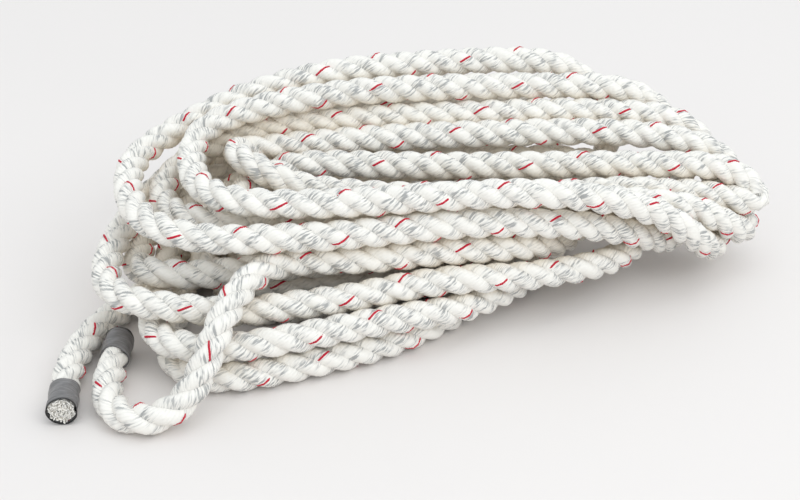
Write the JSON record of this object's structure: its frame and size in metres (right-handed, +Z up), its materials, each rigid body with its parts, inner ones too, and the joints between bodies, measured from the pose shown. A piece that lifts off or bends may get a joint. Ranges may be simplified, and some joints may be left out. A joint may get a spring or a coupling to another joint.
{
  "type": "coiled dock line",
  "caption": "White three-strand laid dock line wound into an oval hank, with a red tracer yarn and both ends bound with grey tape.",
  "frame": {"origin": "middle of the hank's footprint with its tails, on the plane that it lies on", "axes": "+X along the hank, away from the taped ends; +Y to the back; +Z up"},
  "size_m": [0.287, 0.1874, 0.08],
  "materials": {
    "rope": "silky white nylon yarn",
    "tape": "matt grey plastic tape",
    "tracer": "red nylon yarn"
  },
  "bodies": {
    "root": {"turn_01": "rope", "turn_02": "rope", "turn_03": "rope", "turn_04": "rope", "turn_05": "rope", "turn_06": "rope", "turn_07": "rope", "turn_08": "rope", "turn_09": "rope", "turn_10": "rope", "turn_11": "rope", "turn_12": "rope", "turn_13": "rope", "turn_14": "rope", "turn_15": "rope", "working_end_tail": "rope", "bitter_end_tail": "rope", "working_end_strand_1": "rope", "working_end_strand_2": "rope", "working_end_strand_3": "rope", "bitter_end_strand_1": "rope", "bitter_end_strand_2": "rope", "bitter_end_strand_3": "rope", "working_end_tape": "tape", "bitter_end_tape": "tape", "working_end_tracer": "tracer", "bitter_end_tracer": "tracer"}
  },
  "joints": []
}
